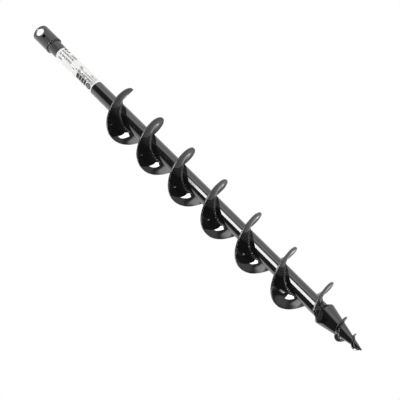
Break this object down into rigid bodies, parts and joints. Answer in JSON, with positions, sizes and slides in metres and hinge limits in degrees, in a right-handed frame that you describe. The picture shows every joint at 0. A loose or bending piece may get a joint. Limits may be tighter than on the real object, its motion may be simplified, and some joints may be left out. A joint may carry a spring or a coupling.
{
  "type": "soil auger bit",
  "caption": "Earth auger bit: tube shaft with a drive socket, a right-handed welded flight and a pilot cone with a small screw. Black enamelled steel.",
  "frame": {"origin": "centre of the drive socket's mouth, on the bit's axis", "axes": "+Z along the bit's axis, up and out of the drive socket, so the pilot point is at -Z; -Y is the front, where the lock dimple is; +X is to the right"},
  "size_m": [0.08, 0.08, 0.8],
  "materials": {
    "shaft_enamel": "glossy black enamel on steel tube, collar and cone",
    "flight_enamel": "glossy black enamel on the steel flight plate",
    "painted_weld": "rippled weld bead under the same black enamel",
    "label_film": null,
    "plug_steel": "bare turned steel plug in the end of the tube"
  },
  "bodies": {
    "root": {"drive_collar": "shaft_enamel", "shaft_tube": "shaft_enamel", "socket_stop": "plug_steel", "collar_weld": "painted_weld", "label_sheet": "label_film", "flight_turn_1": "flight_enamel", "flight_turn_2": "flight_enamel", "flight_turn_3": "flight_enamel", "flight_turn_4": "flight_enamel", "flight_turn_5": "flight_enamel", "flight_turn_6": "flight_enamel", "flight_turn_7": "flight_enamel", "seam_weld_1": "painted_weld", "seam_weld_2": "painted_weld", "seam_weld_3": "painted_weld", "seam_weld_4": "painted_weld", "seam_weld_5": "painted_weld", "seam_weld_6": "painted_weld", "root_weld_1": "painted_weld", "root_weld_2": "painted_weld", "root_weld_3": "painted_weld", "root_weld_4": "painted_weld", "root_weld_5": "painted_weld", "root_weld_6": "painted_weld", "root_weld_7": "painted_weld", "cutting_blade": "flight_enamel", "blade_weld": "painted_weld", "pilot_cone": "shaft_enamel", "cone_weld": "painted_weld", "pilot_screw": "flight_enamel", "pilot_screw_weld": "painted_weld"}
  },
  "joints": []
}
